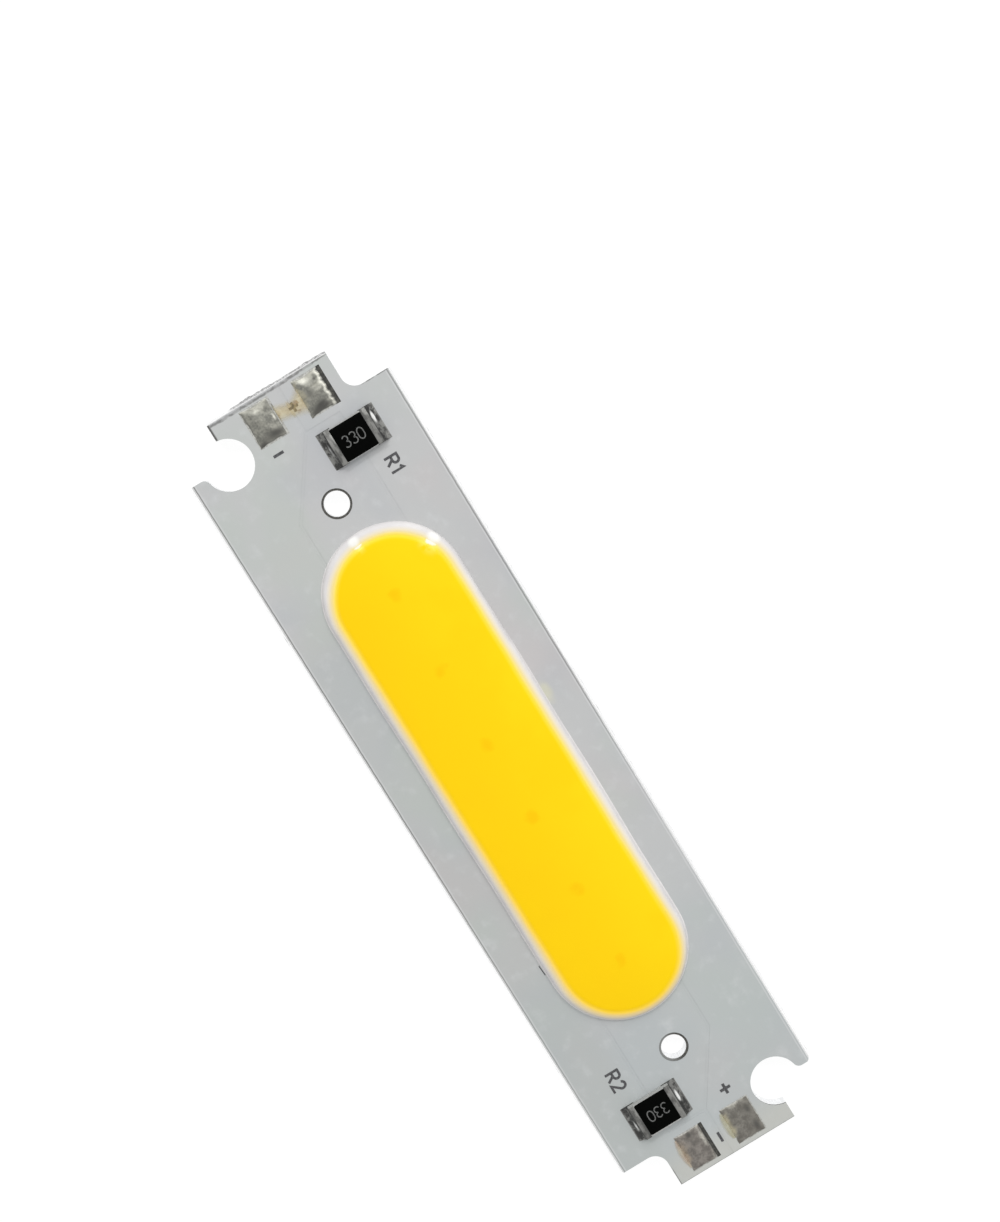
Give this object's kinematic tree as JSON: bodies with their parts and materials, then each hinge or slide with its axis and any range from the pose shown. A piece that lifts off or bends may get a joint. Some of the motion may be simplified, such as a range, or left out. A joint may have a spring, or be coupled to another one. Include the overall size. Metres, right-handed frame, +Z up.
{
  "type": "chip-on-board led strip module",
  "caption": "Flat aluminium-core LED board with a stadium of yellow phosphor gel in a white bead, a chip resistor and two solder pads at each end, and screw notches at opposite corners.",
  "frame": {"origin": "middle of the underside, which is where the board rests", "axes": "+X along the board from resistor 1 to resistor 2, +Y across it towards the side of resistor 1, +Z up out of the lit face"},
  "size_m": [0.06, 0.015, 0.0019],
  "materials": {
    "aluminium": "rolled plate, satin, bright where it was snapped",
    "dielectric": "filled resin, dark and matt",
    "copper": "etched copper foil, satin",
    "white_mask": "white lacquer, satin, slightly uneven",
    "white_silicone": "translucent white silicone, smooth",
    "phosphor": "yellow phosphor in clear silicone, smooth and satin",
    "die": "polished sapphire chip",
    "die_glue": "clear cured glue",
    "gold": "bright gold wire",
    "alumina": "white sintered alumina",
    "resistive_film": "fired film, matt",
    "black_glass": "black overcoat, satin",
    "tin_cap": "tin plating, dull to bright",
    "solder": "reflowed solder, bright and creased",
    "pad_solder": "tinned pad, frosted with flux haze"
  },
  "bodies": {
    "root": {"aluminium_base": "aluminium", "dielectric_layer": "dielectric", "copper_positive": "copper", "copper_negative": "copper", "copper_feed_r1": "copper", "copper_return_r2": "copper", "copper_link_1_2": "copper", "copper_link_2_3": "copper", "copper_link_4_5": "copper", "copper_link_5_6": "copper", "solder_mask": "white_mask", "silicone_dam": "white_silicone", "phosphor_gel": "phosphor", "led_die_1": "die", "die_attach_1": "die_glue", "anode_wire_1": "gold", "cathode_wire_1": "gold", "led_die_2": "die", "die_attach_2": "die_glue", "anode_wire_2": "gold", "cathode_wire_2": "gold", "led_die_3": "die", "die_attach_3": "die_glue", "anode_wire_3": "gold", "cathode_wire_3": "gold", "led_die_4": "die", "die_attach_4": "die_glue", "anode_wire_4": "gold", "cathode_wire_4": "gold", "led_die_5": "die", "die_attach_5": "die_glue", "anode_wire_5": "gold", "cathode_wire_5": "gold", "led_die_6": "die", "die_attach_6": "die_glue", "anode_wire_6": "gold", "cathode_wire_6": "gold", "resistor_1_body": "alumina", "resistor_1_film": "resistive_film", "resistor_1_overcoat": "black_glass", "resistor_1_cap_inner": "tin_cap", "solder_r1_inner": "solder", "resistor_1_cap_outer": "tin_cap", "solder_r1_outer": "solder", "resistor_2_body": "alumina", "resistor_2_film": "resistive_film", "resistor_2_overcoat": "black_glass", "resistor_2_cap_inner": "tin_cap", "solder_r2_inner": "solder", "resistor_2_cap_outer": "tin_cap", "solder_r2_outer": "solder", "solder_positive_r1_end": "pad_solder", "solder_positive_r2_end": "pad_solder", "solder_negative_r1_end": "pad_solder", "solder_negative_r2_end": "pad_solder"}
  },
  "joints": []
}
